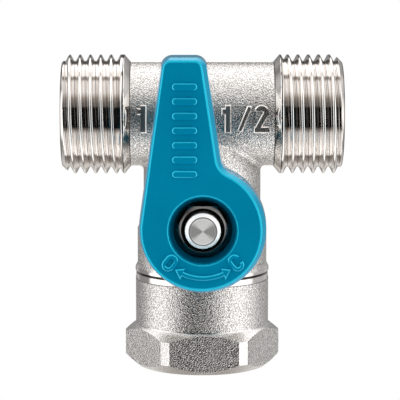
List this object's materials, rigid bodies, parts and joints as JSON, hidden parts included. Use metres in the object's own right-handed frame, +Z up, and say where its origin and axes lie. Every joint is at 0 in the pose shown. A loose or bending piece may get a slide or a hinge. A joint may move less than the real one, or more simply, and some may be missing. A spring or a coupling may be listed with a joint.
{
  "type": "three-way ball valve",
  "caption": "Nickel-plated three-way ball valve: threaded tee outlets over a ball chamber, a hexagonal female inlet below and a blue offset lever turning a stop ball.",
  "frame": {"origin": "middle of the inlet's end face, on the barrel's axis", "axes": "+Z up the barrel from the inlet to the run, +X along the run, and the stem and lever face -Y"},
  "size_m": [0.0492, 0.0357, 0.0562],
  "materials": {
    "blasted_nickel": "satin",
    "white_ptfe": "satin",
    "ball_chrome": "polished",
    "turned_stem": "satin",
    "plain_brass": "satin",
    "blue_paint": "gloss",
    "zinc_steel": "satin"
  },
  "bodies": {
    "body": {"valve_body": "blasted_nickel", "end_connector": "blasted_nickel", "body_seal_ring": "white_ptfe", "upper_seat": "white_ptfe", "lower_seat": "white_ptfe", "thrust_washer": "white_ptfe", "inner_packing_ring": "white_ptfe", "middle_packing_ring": "white_ptfe", "outer_packing_ring": "white_ptfe", "packing_nut": "plain_brass"},
    "lever": {"handle": "blue_paint", "stem": "turned_stem", "lock_washer": "zinc_steel", "handle_nut": "zinc_steel"},
    "ball": {"ball": "ball_chrome"}
  },
  "joints": [
    {"name": "handle_turn", "type": "hinge", "parent": "body", "child": "lever", "pos_m": [0, 0, 0.0271], "axis": [0, 1, 0], "range_deg": [0, 90]},
    {"name": "ball_turn", "type": "hinge", "parent": "body", "child": "ball", "pos_m": [0, 0, 0.0271], "axis": [0, 1, 0], "range_deg": [0, 90]}
  ],
  "couplings": [
    {"joint": "ball_turn", "follows": "handle_turn", "ratio": 1}
  ]
}
